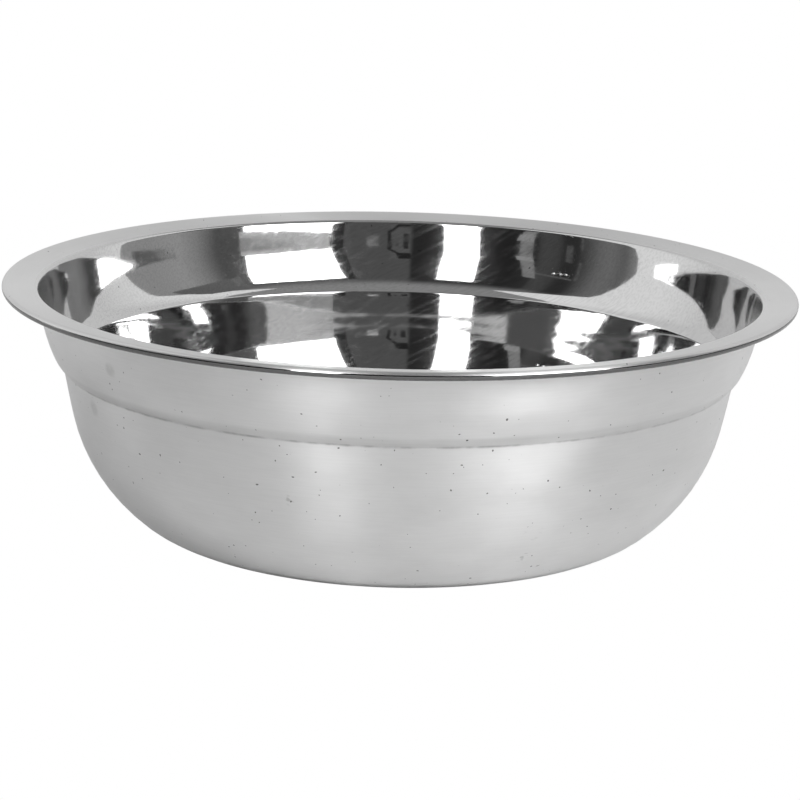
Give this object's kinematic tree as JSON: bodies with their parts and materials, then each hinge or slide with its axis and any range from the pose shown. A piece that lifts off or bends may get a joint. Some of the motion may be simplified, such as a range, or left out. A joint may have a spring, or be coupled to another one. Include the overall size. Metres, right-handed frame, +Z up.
{
  "type": "mixing bowl",
  "caption": "Round stainless steel mixing bowl with a wide upturned rim, a rolled edge, a step in its side and a flat base.",
  "frame": {"origin": "centre of the base's underside, where the bowl's axis meets what it stands on", "axes": "+Z up along the bowl's axis, out of its mouth; the bowl is round, so X and Y are free"},
  "size_m": [0.3, 0.3, 0.0941],
  "materials": {
    "stainless_steel": "satin outside and on the rim, with fine rings of brushing; polished bright inside and on the rolled edge"
  },
  "bodies": {
    "root": {"bowl": "stainless_steel"}
  },
  "joints": []
}
